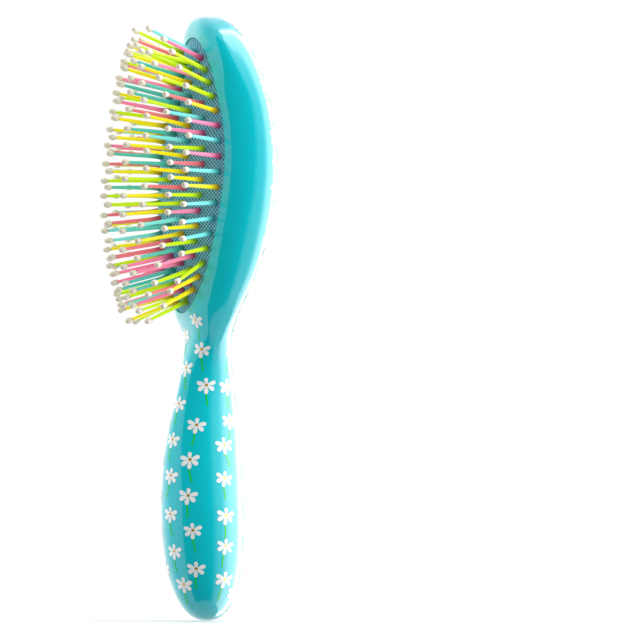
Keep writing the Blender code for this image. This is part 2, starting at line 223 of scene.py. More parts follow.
def back_depth(height):
    if height <= WAIST_HEIGHT:
        return handle_depth(height)
    if height <= BACK_HEIGHT:
        swell = curve_through(BACK_SWELL_SHARES, share_of(height, WAIST_HEIGHT, BACK_HEIGHT))
        return between(WAIST_DEPTH / 2, BACK_DEPTH, swell)
    return BACK_DEPTH * arc(share_of(height, BACK_HEIGHT, BRUSH_LENGTH), BACK_ARC_FULLNESS)


def front_depth(height):
    if height <= WAIST_HEIGHT:
        return handle_depth(height)
    for (low, start), (high, end) in zip(FRONT_DEPTHS, FRONT_DEPTHS[1:]):
        if height <= high:
            return between(start, end, eased(share_of(height, low, high)))
    return BROW_DEPTH * arc(share_of(height, BROW_HEIGHT, BRUSH_LENGTH), BROW_ARC_FULLNESS)


def axis_line(height):
    """Y of the line the sections are set on: it leans in the handle, then eases back to the head's."""
    lean = HANDLE_LEAN * max(1 - height / WAIST_HEIGHT, 0) ** 3
    return lean + HEAD_OFFSET * eased(share_of(height, GRIP_HEIGHT, LEVEL_HEIGHT))


def flank_share(height):
    """How far the head's flank slopes: its widest line lies furthest back a little above the middle."""
    return curve_through(FLANK_SHARES, clamped(share_of(height, WAIST_HEIGHT, BRUSH_LENGTH)))


def widest_line(height):
    return axis_line(height) + FLANK_SET_BACK * flank_share(height)


def front_fullness(height):
    share = share_of(height, NECK_HEIGHT, CHIN_HEIGHT)
    return between(HANDLE_FULLNESS, HEAD_FRONT_FULLNESS, clamped(share))


def rim_level(height):
    """Y of the front at the opening's edge, or on the middle line above and below the opening."""
    edge = oval_half_width(height) / half_width(height)
    return axis_line(height) - front_depth(height) * arc(edge, front_fullness(height))


def rim_face(height):
    """Width and slope of the face that runs round the opening; both fade out at the oval's ends."""
    share = clamped(oval_half_width(height) / RIM_FULL_EDGE)
    return RIM_WIDTH * share, math.tan(math.radians(RIM_SLOPE) * share)


def front_form(height):
    """Depth and fullness of a section's front, which starts at the outer edge of the rim face."""
    width, slope = rim_face(height)
    edge = (oval_half_width(height) + width) / half_width(height)
    fullness = between(front_fullness(height), FLANK_FULLNESS, clamped(FLANK_ONSET * flank_share(height)))
    return (widest_line(height) - rim_level(height) - slope * width) / arc(edge, fullness), fullness


def past_rim_face(level, x, height):
    """The flank's Y, or the rim face's where that lies further back, with a soft edge."""
    width, slope = rim_face(height)
    if width == 0:
        return level
    face = rim_level(height) + slope * (abs(x) - oval_half_width(height))
    return (level + face + math.hypot(level - face, RIM_SOFTNESS)) / 2


def back_form(height):
    """Depth and fullness of a section's back, fuller where the flank is less set back."""
    share = share_of(height, WAIST_HEIGHT, LEVEL_HEIGHT)
    fullness = between(HANDLE_FULLNESS, HEAD_BACK_FULLNESS, eased(share))
    slack = flank_share(height)
    return back_depth(height) - FLANK_SET_BACK * slack, fullness - slack * (1 - SLACK_EASE * slack)


def front_level(x, height):
    """Y of the body's front skin, as if the opening were not there."""
    depth, fullness = front_form(height)
    level = widest_line(height) - depth * arc(abs(x) / half_width(height), fullness)
    return past_rim_face(level, x, height)


def section_point(height, angle):
    """A point of the body's cross section; the angle runs from +X over the back."""
    across, away = math.cos(angle), math.sin(angle)
    depth, fullness = back_form(height) if away >= 0 else front_form(height)
    reach = (abs(across) ** fullness + abs(away) ** fullness) ** (-1 / fullness)
    x = half_width(height) * across * reach
    y = widest_line(height) + depth * away * reach
    if away < 0:
        y = past_rim_face(y, x, height)
    return Vector((x, y, height - GRIP_HEIGHT))


def pick(piece, others=()):
    """Select a piece, with others if any, and make it the active one."""
    bpy.ops.object.select_all(action="DESELECT")
    for item in (*others, piece):
        item.select_set(True)
    bpy.context.view_layer.objects.active = piece


def new_object(name, data):
    item = bpy.data.objects.new(name, data)
    bpy.context.collection.objects.link(item)
    return item


def apply_modifier(piece, kind, **settings):
    pick(piece)
    modifier = piece.modifiers.new(kind.lower(), kind)
    for key, value in settings.items():
        setattr(modifier, key, value)
    bpy.ops.object.modifier_apply(modifier=modifier.name)


def coat(piece, material):
    """Give a piece one material, in place of any it has."""
    piece.data.materials.clear()
    piece.data.materials.append(material)


def linear(hex_value):
    """An sRGB hex colour as linear values for a shader."""
    channels = [(hex_value >> shift & 0xFF) / 0xFF for shift in (16, 8, 0)]
    return (*[c / 12.92 if c <= 0.04045 else ((c + 0.055) / 1.055) ** 2.4 for c in channels], 1)


def new_material(name, values):
    """A material, its shader with some inputs set, and links that lay a texture on the piece itself."""
    material = bpy.data.materials.new(name)
    material.use_nodes = True
    shader = material.node_tree.nodes["Principled BSDF"]
    for key, value in values.items():
        shader.inputs[key].default_value = value
    return material, shader, [("Vector", add_node(material, "ShaderNodeTexCoord"), "Object")]


def add_node(material, kind, settings=(), inputs=(), links=(), feeds=()):
    """Add a node. Links are (own input, other node, its output); feeds are (own output, other, its input)."""
    tree = material.node_tree
    node = tree.nodes.new(kind)
    for key, value in dict(settings).items():
        setattr(node, key, value)
    for key, value in dict(inputs).items():
        node.inputs[key].default_value = value
    for own, other, output in links:
        tree.links.new(other.outputs[output], node.inputs[own])
    for own, other, socket in feeds:
        tree.links.new(node.outputs[own], other.inputs[socket])
    return node


SMOOTH_STEP = {"interpolation_type": "SMOOTHSTEP"}
COLOUR_MIX = {"data_type": "RGBA"}


def mottle(material, shader, on_piece, colour, scale, spread):
    """A colour that wavers a little: a noise of the given scale per metre lightens and darkens it."""
    noise = add_node(material, "ShaderNodeTexNoise", (), {"Scale": scale, "Detail": 3}, on_piece)
    dark, light = [(*[min(c * by, 1) for c in linear(colour)[:3]], 1) for by in (1 - spread, 1 + spread)]
    add_node(material, "ShaderNodeMix", COLOUR_MIX, {6: dark, 7: light}, [(0, noise, "Fac")],
             [(2, shader, "Base Color")])


def lacquered(name, colour, scale, spread, values):
    """Paint or ink under clear gloss: mild face on, full at grazing, faintly rippled as a dipped coat is."""
    material, shader, on_piece = new_material(
        name, {"Specular IOR Level": 0.1, "Coat Roughness": 0.03, "Coat IOR": LACQUER_IOR, **values})
    mottle(material, shader, on_piece, colour, scale, spread)
    facing = add_node(material, "ShaderNodeLayerWeight", (), {"Blend": 0.5})
    add_node(material, "ShaderNodeMapRange", (),
             {"From Min": 0.02, "From Max": 0.26, "To Min": GLOSS_FACE_ON},
             [("Value", facing, "Facing")], [(0, shader, "Coat Weight")])
    noise = add_node(material, "ShaderNodeTexNoise", (), {"Scale": 300, "Detail": 1}, on_piece)
    add_node(material, "ShaderNodeBump", (), {"Distance": 0.000002}, [("Height", noise, "Fac")],
             [(0, shader, "Coat Normal")])
    return material


def draw_rings(name, rings):
    """Extrude a ring of edges from place to place, and close it at both ends."""
    bpy.ops.mesh.primitive_circle_add(vertices=len(rings[0]), radius=0.01)
    piece = bpy.context.object
    piece.name = name
    bpy.ops.object.mode_set(mode="EDIT")
    for index, ring in enumerate(rings):
        if index:
            bpy.ops.mesh.extrude_region_move()
        form = bmesh.from_edit_mesh(piece.data)
        for vertex, place in zip([v for v in form.verts if v.select], ring):
            vertex.co = place
        if index in (0, len(rings) - 1):
            bpy.ops.mesh.extrude_region_move()
            bpy.ops.mesh.merge(type="CENTER")
            if index == 0:
                form = bmesh.from_edit_mesh(piece.data)
                form.verts.ensure_lookup_table()
                for vertex in form.verts:
                    vertex.select_set(vertex.index < len(ring))
                form.select_flush_mode()
        bmesh.update_edit_mesh(piece.data)
    bpy.ops.mesh.select_all(action="SELECT")
    bpy.ops.mesh.normals_make_consistent(inside=False)
    if bmesh.from_edit_mesh(piece.data).calc_volume(signed=True) < 0:
        bpy.ops.mesh.flip_normals()
    bpy.ops.object.mode_set(mode="OBJECT")
    bpy.ops.object.shade_smooth_by_angle(angle=CREASE_ANGLE)
    return piece


def oval_ring(inset, level_at, share=1):
    """A ring on the drawn-in oval, or on a share of it; level_at gives the Y at each turn."""
    ring = []
    for turn in full_turn(OPENING_SIDES):
        x, height = oval_point(turn, inset, share)
        ring.append((x, level_at(turn), height - GRIP_HEIGHT))
    return ring


def take_shading(piece, **settings):
    """Give a piece the smooth skin's own shading, so that cuts and prints don't show in the gloss."""
    apply_modifier(piece, "DATA_TRANSFER", object=skin, use_loop_data=True,
                   data_types_loops={"CUSTOM_NORMAL"}, loop_mapping="POLYINTERP_NEAREST", **settings)


# The whole outside of the moulding, closed over the opening; the body is a copy that is cut
bpy.ops.mesh.primitive_uv_sphere_add(segments=BODY_SIDES, ring_count=BODY_RINGS, radius=1)
skin = bpy.context.object
skin.name = "skin_guide"
for vertex in skin.data.vertices:
    x, y, z = vertex.co
    height = BRUSH_LENGTH * clamped((1 + z) / 2)
    at_pole = abs(z) > 1 - 1e-6
    middle = (0, widest_line(height), height - GRIP_HEIGHT)
    vertex.co = middle if at_pole else section_point(height, math.atan2(y, x))
bpy.ops.object.shade_smooth()
body = new_object("lacquered_body", skin.data.copy())

# A plug the shape of the opening with its rounded lip, the undercut groove and the air chamber
stations = []
for step in range(LIP_STEPS + 1):
    turn = LIP_TURN * (1 - step / LIP_STEPS)
    stations.append((LIP_RADIUS * (math.cos(turn) - 1), LIP_RADIUS * (1 - math.sin(turn))))
inset = stations[0][0] - PLUG_CLEARANCE * math.sin(LIP_TURN)
stations.insert(0, (inset, stations[0][1] - PLUG_CLEARANCE * math.cos(LIP_TURN)))
top, floor = LIP_THICKNESS, LIP_THICKNESS + GROOVE_WIDTH
stations += [(0, top), (-GROOVE_DEPTH, top), (-GROOVE_DEPTH, floor), (0, floor)]
rings = [oval_ring(inset, lambda turn: PLUG_FRONT)]
for inset, depth in stations:
    ground = inset if depth < LIP_THICKNESS else 0
    rings.append(oval_ring(inset, lambda turn: front_level(*oval_point(turn, ground)) + depth))
rings.append(oval_ring(0, lambda turn: CHAMBER_FLOOR))
plug = draw_rings("opening_plug", rings)
apply_modifier(body, "BOOLEAN", operation="DIFFERENCE", object=plug, solver="EXACT")
bpy.data.objects.remove(plug)
bpy.ops.object.shade_smooth_by_angle(angle=CREASE_ANGLE)

skin_tree = BVHTree.FromObject(skin, bpy.context.evaluated_depsgraph_get())
outside = body.vertex_groups.new(name="outside")
outside.add([v.index for v in body.data.vertices if skin_tree.find_nearest(v.co)[3] < SKIN_GAP], 1, "REPLACE")
take_shading(body, vertex_group="outside")
body.vertex_groups.clear()

# Turquoise paint, matt and just uneven, that the clear lacquer makes deep and glossy
coat(body, lacquered("clear_lacquer_on_turquoise", TURQUOISE, 120, 0.02,
                     {"Roughness": 0.35, "Sheen Weight": 0.12, "Sheen Roughness": 0.3}))
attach(body, "brush_body")
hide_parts("handle_body")

# Printed daisies. White flowers with a gold heart on short green stems, printed in columns round the
# handle. The inks lie on the paint and under the lacquer, so they are thin shapes pressed on the body
# that share its smooth shading. They are drawn flat, in millimetres, and stand at (azimuth, height).

PETALS = (
    (90, 2.7, 1.6), (14, 3.8, 1.65), (-36, 3.5, 1.75), (-98, 3.5, 1.7), (-153, 3.8, 1.75), (161, 3.9, 1.65),
)
PETAL_SHAPE = ((0.14, 0.42), (0.32, 0.62), (0.5, 0.86), (0.68, 1.0), (0.84, 0.9), (0.95, 0.62), (1.0, 0.3))
HEART_RADIUS = 0.95
CENTRE_RADIUS = 0.58
CENTRE_STRETCH = 1.15
STEM_WIDTH = 0.56
STEM_START = (-0.4, -3.3)
STEM_LENGTH = 5.0
STEM_STEPS = 6
STEM_DRIFT = 1.2
STEM_BEND = 0.3
LOWEST_STEM = 9
DAISY_SIZES = (0.97, 1.06)
TILT_SPREAD = 8
INK_THICKNESS = 0.00003
STEM_LIFT = 0.00005
PETAL_LIFT = 0.00007
CENTRE_LIFT = 0.00009
DAISIES = (
    (47, 113.5), (58, 102.5), (72, 89), (57, 74), (51, 61), (51, 47.5), (57, 34.5), (59, 20),
    (344, 108), (14, 95.5), (12, 82), (14, 68.5), (19, 55), (20, 40.5), (24, 26.5), (33, 14),
    (131, 102.5), (132, 88.5), (130, 75.5), (111, 66.5), (106, 54), (105, 40), (104, 28.5), (105, 16),
    (147, 75), (148, 62), (148, 49.5), (147, 35.5), (144, 22.5), (134, 11),
    (185, 96), (184, 82.5), (188, 68.5), (183, 55.5), (182, 42.5), (177, 29), (181, 16.5), (180, 5),
    (238, 102), (239, 88.5), (238, 75), (222, 62), (214, 49), (219, 36), (222, 23), (236, 10),
    (262, 68.5), (258, 55.5), (256, 42.5), (258, 29), (263, 16),
    (299, 95), (302, 82), (300, 62), (297, 49), (298, 35), (300, 22), (306, 9),
    (334, 75), (336, 61), (336, 47.5), (338, 33.5), (346, 20),
)

INK_WHITE = 0xF8FDFD
INK_GOLD = 0xD8B040
INK_GREEN = 0x24D800


def ink_material(name, colour, metallic=0.0):
    """Screen ink under the lacquer: a matt colour with a little mottle and the body's gloss over it."""
    return lacquered(name, colour, 900, 0.03, {"Roughness": 0.4, "Metallic": metallic})


def joined(name, items):
    pick(items[0], items[1:])
    if len(items) > 1:
        bpy.ops.object.join()
    items[0].name = name
    return items[0]


def flat_disc(sides, radius):
    bpy.ops.mesh.primitive_circle_add(vertices=sides, radius=radius, fill_type="NGON")
    return bpy.context.object


def strip(places, width):
    """A flat ribbon of quads along a path in the XY plane."""
    bpy.ops.mesh.primitive_grid_add(x_subdivisions=len(places) - 1, y_subdivisions=1, size=2)
    ribbon = bpy.context.object
    for vertex in ribbon.data.vertices:
        index = round((vertex.co.x + 1) / 2 * (len(places) - 1))
        before, after = places[max(index - 1, 0)], places[min(index + 1, len(places) - 1)]
        along = Vector((after[0] - before[0], after[1] - before[1])).normalized()
        half = vertex.co.y * (width[index] if isinstance(width, list) else width) / 2
        vertex.co = (places[index][0] - along.y * half, places[index][1] + along.x * half, 0)
    return ribbon


def copy_at(model, matrix):
    copy = new_object("copy", model.data.copy())
    copy.data.transform(matrix)
    return copy


def lay_daisy(start, way, tilt, size):
    """Copy the daisy to where a ray meets the skin; a tilt of 0 stands it upright. Gives its matrix."""
    place, normal, _, _ = skin_tree.ray_cast(start, way)
    up = (Vector((0, 0, 1)) - normal * normal.z).normalized()
    turned = Matrix((up.cross(normal), up, normal)).transposed().to_4x4()
    laid = Matrix.Translation(place) @ turned @ Matrix.Rotation(tilt, 4, "Z") @ Matrix.Scale(0.001 * size, 4)
    flowers.append(copy_at(daisy, laid))
    centres.append(copy_at(daisy_centre, laid))
    return laid


def press_on(piece, lift, material, **settings):
    """Press flat prints on the body, give them the ink's thickness and the body's own shading."""
    apply_modifier(piece, "SHRINKWRAP", target=skin, offset=lift, wrap_mode="ABOVE_SURFACE", **settings)
    apply_modifier(piece, "SOLIDIFY", thickness=INK_THICKNESS, offset=0)
    bpy.ops.object.mode_set(mode="EDIT")
    bpy.ops.mesh.select_all(action="SELECT")
    bpy.ops.mesh.normals_make_consistent(inside=False)
    bpy.ops.object.mode_set(mode="OBJECT")
    take_shading(piece)
    coat(piece, material)
    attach(piece, "brush_body")


white_ink = ink_material("white_ink", INK_WHITE)
gold_ink = ink_material("gold_ink", INK_GOLD, metallic=0.5)
green_ink = ink_material("green_ink", INK_GREEN)

# One flower: white petals round the white ground of its heart, and the gold centre on it
pieces = [flat_disc(14, HEART_RADIUS)]
for degrees, length, width in PETALS:
    turn = math.radians(degrees)
    reaches = [length * along for along, _ in PETAL_SHAPE]
    places = [(reach * math.cos(turn), reach * math.sin(turn)) for reach in reaches]
    pieces.append(strip(places, [width * share for _, share in PETAL_SHAPE]))
daisy = joined("daisy", pieces)
daisy_centre = flat_disc(10, CENTRE_RADIUS)
for vertex in daisy_centre.data.vertices:
    vertex.co.x *= CENTRE_STRETCH

# The flowers round the handle, each with a stem that sways a little its own way
dice = random.Random(4)
flowers, centres, stems = [], [], []
for azimuth, level in DAISIES:
    axis = Vector((0, widest_line(level * 0.001), level * 0.001 - GRIP_HEIGHT))
    outward = direction(math.radians(azimuth))
    tilt = math.radians(dice.uniform(-TILT_SPREAD, TILT_SPREAD))
    laid = lay_daisy(axis + outward * 0.1, -outward, tilt, dice.uniform(*DAISY_SIZES))
    if level < LOWEST_STEM:
        continue
    drift = dice.uniform(-STEM_DRIFT, STEM_DRIFT)
    bend = dice.uniform(-STEM_BEND, STEM_BEND)
    path = []
    for step in range(STEM_STEPS + 1):
        share = step / STEM_STEPS
        sway = STEM_START[0] + drift * share + bend * math.sin(math.pi * share)
        path.append((sway, STEM_START[1] - STEM_LENGTH * share))
    stem = strip(path, STEM_WIDTH)
    stem.data.transform(laid)
    stems.append(stem)
press_on(joined("daisy_stems", stems), STEM_LIFT, green_ink)
press_on(joined("daisy_petals", flowers), PETAL_LIFT, white_ink)
press_on(joined("daisy_centres", centres), CENTRE_LIFT, gold_ink)

# Printed picture on the head's back. A wreath of daisies on two winding green stems frames a vase of
# folk-art flowers. It is flat artwork in layers of ink, drawn in millimetres round the wreath's middle
# and pressed on the paint from behind, like the handle's daisies.

WREATH_MIDDLE = 0.167
WREATH_WIDTH = 30.6
WREATH_HEIGHT = 58.8
WREATH_EGG_SHARE = 0.05
WREATH_STEPS = 720
WREATH_FLOWERS = 30
WREATH_FLOWER_SIZE = 1.1
STRAND_BULGE = 1.2
STRAND_STEPS = 8
FILL_PITCH = 1.6
FILL_MARGIN = 0.7
LAYER_LIFT = 0.00004
FIRST_LIFT = 0.00005

PICTURE_INKS = {
    "violet": 0x34008C, "yellow": 0xF5F0A8, "peach": 0xF5DFC0, "cyan": 0x08A8E4, "red": 0xE01030,
    "amber": 0xE8B820, "orange": 0xF0A020,
}
PETAL = ((0, 0), (0.22, 0.26), (0.5, 0.45), (0.74, 0.5), (0.93, 0.3), (1, 0))
LEAF = ((0, 0), (0.15, 0.22), (0.4, 0.48), (0.62, 0.45), (0.85, 0.2), (1, 0))


def both_halves(points):
    """A whole outline from its right half, which starts and ends on the middle line."""
    return list(points) + [(-x, y) for x, y in reversed(points[1:-1])]


TULIP = both_halves(((0, -6), (3.4, -4.9), (5.3, -0.8), (5.6, 3.4), (4.7, 7), (2.7, 4.0), (0, 7.4)))
HEART = both_halves(((0, -1.0), (0.62, -0.38), (1.0, 0.25), (0.82, 0.78), (0.4, 0.84), (0, 0.5)))
VASE = both_halves((
    (0, -51.4), (4.4, -51.4), (6.0, -50.0), (4.6, -47.6), (7.6, -42), (9.7, -35), (9.2, -28),
    (6.4, -22), (4.3, -18), (4.7, -14.8), (6.6, -12.2), (0, -11.6),
))


def blade(half, length, width, start=0):
    """A petal or a leaf that lies along +X."""
    whole = [*half, *[(x, -y) for x, y in reversed(half[1:-1])]]
    return [(start + length * x, width * y) for x, y in whole]


def disc(radius, sides=8):
    return [(radius * math.cos(turn), radius * math.sin(turn)) for turn in full_turn(sides)]


def placed(points, x, y, degrees=0, size=1):
    turn = math.radians(degrees)
    return [(x + size * (px * math.cos(turn) - py * math.sin(turn)),
             y + size * (px * math.sin(turn) + py * math.cos(turn))) for px, py in points]


def smoothed(points, closed=True):
    """Points every millimetre or so on a smooth curve through the given ones."""
    ring = list(points) if closed else [points[0], *points, points[-1]]
    outline = []
    for index in range(len(ring)) if closed else range(1, len(ring) - 2):
        four = [ring[(index + shift) % len(ring)] for shift in (-1, 0, 1, 2)]
        steps = max(2, round(math.dist(four[1], four[2])))
        for step in range(steps):
            t = step / steps
            outline.append(tuple([
                (2 * b + (c - a) * t + (2 * a - 5 * b + 4 * c - d) * t ** 2
                 + (3 * b - a - 3 * c + d) * t ** 3) / 2 for a, b, c, d in zip(*four)
            ]))
    return outline if closed else outline + [points[-1]]


def inside(point, outline):
    x, y = point
    hits = 0
    for (ax, ay), (bx, by) in zip(outline, outline[1:] + outline[:1]):
        hits += (ay > y) != (by > y) and x < ax + (y - ay) * (bx - ax) / (by - ay)
    return hits % 2 == 1


def filled(outline):
    """Flat mesh inside an outline, with faces small enough to follow the curved back."""
    columns = [round(x / FILL_PITCH) for x, _ in outline]
    rows = [round(y / FILL_PITCH) for _, y in outline]
    inner = []
    for row in range(min(rows), max(rows) + 1):
        for column in range(min(columns), max(columns) + 1):
            point = ((column + row % 2 / 2) * FILL_PITCH, row * FILL_PITCH)
            if inside(point, outline) and min(math.dist(point, other) for other in outline) > FILL_MARGIN:
                inner.append(point)
    rim = [(index, (index + 1) % len(outline)) for index in range(len(outline))]
    made = delaunay_2d_cdt([Vector(point) for point in outline + inner], rim, [], 1, 1e-4)
    mesh = bpy.data.meshes.new("fill")
    mesh.from_pydata([(*point, 0) for point in made[0]], [], made[2])
    return new_object("fill", mesh)


artwork = {}


def draw(ink, layer, item):
    artwork.setdefault((layer, ink), []).append(item)


def motif(shape, place, layer, fill, line=None, width=0.5):
    """A filled shape at a place (x, y, degrees, size), with a line of another ink round it."""
    outline = smoothed(placed(shape, *place))
    draw(fill, layer, filled(outline))
    if line:
        draw(line, layer + 1, strip(outline + outline[:1], width))


def stem_through(points, ink="green", layer=0, width=0.8):
    draw(ink, layer, strip(smoothed(points, closed=False), width))


# The vase with its garlands, two rims, heart and dots
motif(VASE, (0, 0), 2, "violet", "white", 0.6)
for level, reach, sag in ((-29.5, 9.3, 5.0), (-31.5, 9.4, 5.6)):
    garland = [(reach * x / 4, level - sag * (1 - x * x / 16)) for x in range(-4, 5)]
    stem_through(garland, "white", 4, 0.5)
stem_through([(x, -18.2 - 0.25 * (1 - x * x / 18)) for x in (-4.2, -2, 0, 2, 4.2)], "white", 4, 0.5)
stem_through([(x, -47.2) for x in (-4.5, -2, 0, 2, 4.5)], "white", 4, 0.5)
motif(HEART, (0, -26.5, 0, 3.4), 4, "amber")
motif(HEART, (0, -26.4, 0, 1.7), 5, "red")
for x, y in ((-5.5, -39.4), (0, -41.6), (5.5, -39.4)):
    motif(disc(0.9), (x, y), 4, "amber")

# Stems, then the large flower in the middle with a tulip above it
stem_through([(0, -12), (0.5, -2), (-0.4, 8), (0, 16)], width=1.0)
stem_through([(0, 34), (0, 41)])
for side in (-1, 1):
    stem_through([(1.0 * side, -12), (5.5 * side, -8.6), (11 * side, -7), (14.4 * side, -4)], width=0.9)
    stem_through([(0.7 * side, -12), (3.2 * side, -3), (9 * side, 7), (14.6 * side, 15), (17 * side, 22)])
    stem_through([(2.5 * side, -12), (8 * side, -12.6), (14 * side, -17), (16 * side, -26)])
    stem_through([(4 * side, 35), (8 * side, 36.4), (10.8 * side, 39.4)], width=0.7)
for index in range(8):
    motif(blade(PETAL, 11.4, 7.7, 3.4), (0, 22, 45 * index + 22.5), 1, "yellow", "amber")
motif(disc(4.4), (0, 22), 3, "peach", "orange")
for turn in full_turn(6):
    motif(disc(0.65), (2.6 * math.cos(turn), 22 + 2.6 * math.sin(turn)), 4, "red")
motif(disc(1.0), (0, 22), 4, "amber")
motif(TULIP, (0, 44.6, 0, 0.86), 1, "yellow", "amber")
motif(blade(PETAL, 6.6, 2.8), (0, 39.6, 90), 3, "peach", "orange", 0.4)

# Tulips, small flowers, hearts, leaves and dots, the same on both sides
for side in (-1, 1):
    way = 0 if side > 0 else 180
    motif(TULIP, (16.4 * side, 3.4, -20 * side, 1.16), 1, "peach", "orange")
    motif(blade(PETAL, 8.6, 3.6), (14.4 * side, -2.4, 90 - 20 * side), 3, "yellow", "orange", 0.4)
    for index in range(5):
        motif(blade(PETAL, 4.7, 3.5, 0.9), (17.4 * side, 26, 72 * index + 90), 1, "violet", "white", 0.35)
        motif(blade(PETAL, 4.6, 3.5, 0.9), (16 * side, -31, 72 * index - 90), 1, "yellow", "amber", 0.4)
    motif(disc(1.3), (17.4 * side, 26), 3, "amber")
    motif(disc(1.3), (16 * side, -31), 3, "red")
    motif(HEART, (12.3 * side, 41, -24 * side, 2.9), 1, "red", "white", 0.35)
    motif(HEART, (10.2 * side, -45.2, 20 * side, 2.2), 1, "red", "white", 0.35)
    for length, width, x, y, degrees, line in (
            (15, 5.2, 4.2, -11.4, -34, 0.45), (13, 4.6, 2.6, -2, 6, 0.45),
            (8.5, 3.4, 14.6, 15.4, -8, 0.4), (7.5, 3.2, 15.2, -21, -12, 0.4)):
        motif(blade(LEAF, length, width), (x * side, y, way + degrees * side), 1, "cyan", "white", line)
    for x, y, radius in (
            (7.6, 5.4, 0.8), (23.5, 12.6, 0.75), (20.6, -12.4, 0.9), (12.6, -24.4, 0.75), (12.4, 33, 0.8),
            (21.4, -37.4, 0.75), (6.6, 49.4, 0.75), (22.8, 17.6, 0.55), (13.6, -38.6, 0.7)):
        motif(disc(radius), (x * side, y), 1, "yellow")

# The wreath: daisies at even steps along a slightly egg-shaped oval, and two strands between each pair
wreath_middle = Vector((0, 0, WREATH_MIDDLE - GRIP_HEIGHT))
oval, travelled = [], [0.0]
for index in range(WREATH_STEPS + 1):
    turn = math.tau * index / WREATH_STEPS
    x = WREATH_WIDTH * math.cos(turn) * (1 + WREATH_EGG_SHARE * math.sin(turn))
    oval.append((x, WREATH_HEIGHT * math.sin(turn)))
    if index:
        travelled.append(travelled[-1] + math.dist(oval[-1], oval[-2]))
wreath = []
for index in range(WREATH_FLOWERS):
    goal = travelled[-1] * ((index + 0.5) / WREATH_FLOWERS)
    wreath.append(oval[next(i for i, far in enumerate(travelled) if far >= goal)])
flowers, centres = [], []
for index, (x, y) in enumerate(wreath):
    outward = math.degrees(math.atan2(y / WREATH_HEIGHT, x / WREATH_WIDTH)) + 180 * (index % 2)
    lean = math.radians(outward - 90 + dice.uniform(-TILT_SPREAD, TILT_SPREAD))
    lay_daisy(Vector((-x, 100, y)) * 0.001 + wreath_middle, Vector((0, -1, 0)), lean, WREATH_FLOWER_SIZE)
    after = wreath[(index + 1) % WREATH_FLOWERS]
    across = Vector((y - after[1], after[0] - x)).normalized() * STRAND_BULGE
    for side in (-1, 1):
        strand = []
        for step in range(STRAND_STEPS + 1):
            share = step / STRAND_STEPS
            bulge = side * math.sin(math.pi * share)
            strand.append((between(x, after[0], share) + across.x * bulge,
                           between(y, after[1], share) + across.y * bulge))
        draw("green", 0, strip(strand, STEM_WIDTH))
for model in (daisy, daisy_centre):
    bpy.data.objects.remove(model)
press_on(joined("wreath_petals", flowers), FIRST_LIFT + LAYER_LIFT, white_ink)
press_on(joined("wreath_centres", centres), FIRST_LIFT + 2 * LAYER_LIFT, gold_ink)

inks = {name: ink_material(f"{name}_ink", colour) for name, colour in PICTURE_INKS.items()}
inks.update(white=white_ink, green=green_ink)
behind = Matrix((
    (-0.001, 0, 0, 0), (0, 0, 0.001, 0.05), (0, 0.001, 0, WREATH_MIDDLE - GRIP_HEIGHT), (0, 0, 0, 1),
))
for (layer, ink), items in sorted(artwork.items()):
    sheet = joined(f"picture_{ink}_{layer}", items)
    sheet.data.transform(behind)
    press_on(sheet, FIRST_LIFT + layer * LAYER_LIFT, inks[ink], wrap_method="PROJECT",
             use_project_y=True, use_negative_direction=True, use_positive_direction=False)

# Cushion. A domed pad of moulded natural rubber, two millimetres thick, whose edge bead snaps into the
# groove behind the opening's lip. The air behind it is its spring, so the pad flattens when it is pressed.

SEAT_DEPTH = 0.0011
CUSHION_RISE = 0.0162
CUSHION_THICKNESS = 0.0020
CUSHION_ROUNDNESS_SHARE = 0.25
LEAST_EDGE = 0.0003
PAD_LIFT = -0.0003
PAD_INSET = 0.0010
PAD_RINGS = 14

RUBBER_TEAL = 0x0E5A6C


def roof(share):
    """Cross profile of the dome: a rounded ridge with straight flanks, 1 to 0."""
    round_off = CUSHION_ROUNDNESS_SHARE
    full_drop = math.hypot(round_off, 1) - round_off
    return 1 - (math.hypot(round_off, share) - round_off) / full_drop


def cushion_level(x, height):
    """Y of the cushion's outer face."""
    along = (height - OPENING_HEIGHT) / (OPENING_LENGTH / 2)
    edge = max(oval_half_width(height), LEAST_EDGE)
    rise = CUSHION_RISE * max(0, 1 - along ** 2) * roof(min(abs(x) / edge, 1))
    return rim_level(height) + SEAT_DEPTH - rise


def dome_shell(name, count, inset, lift, thickness):
    """A closed shell on the dome: rings from its middle out over its face, and back behind it."""
    steps = [((index + 1) / count, lift) for index in range(count)]
    steps += [(share, lift - thickness) for share, _ in reversed(steps)]
    rings = []
    for share, above in steps:
        level_at = lambda turn: cushion_level(*oval_point(turn, inset, share)) - above
        rings.append(oval_ring(inset, level_at, share))
    return draw_rings(name, rings)


# Soft and matt, with the fine grain of the mould and a dull patchiness
rubber, shader, on_piece = new_material("moulded_rubber", {"Roughness": 0.6})
mottle(rubber, shader, on_piece, RUBBER_TEAL, 400, 0.12)
grain = add_node(rubber, "ShaderNodeTexNoise", (), {"Scale": 4000, "Detail": 2}, on_piece)
add_node(rubber, "ShaderNodeBump", (), {"Strength": 0.4, "Distance": 0.00003}, [("Height", grain, "Fac")],
         [(0, shader, "Normal")])

rubber_pad = dome_shell("rubber_pad", PAD_RINGS, PAD_INSET, PAD_LIFT, CUSHION_THICKNESS)
coat(rubber_pad, rubber)
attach(rubber_pad, "brush_body")
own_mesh(rubber_pad)
coat(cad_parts["cushion_bead"], rubber)


# Mesh cover. One piece of warp-knitted polyester mesh, laminated on the rubber, with a pinhole for each
# pin. It is stretched over the dome, and its edge is tucked behind the lip of the opening. Its holes lie
# in staggered rows, with a pitch and a width in millimetres over the cloth.

COVER_LIFT = 0.0002
COVER_THICKNESS = 0.0004
COVER_INSET = 0.0001
COVER_RINGS = 24
COVER_STEPS = 16
MESH_PITCH = 1.56
MESH_HOLE = 0.66

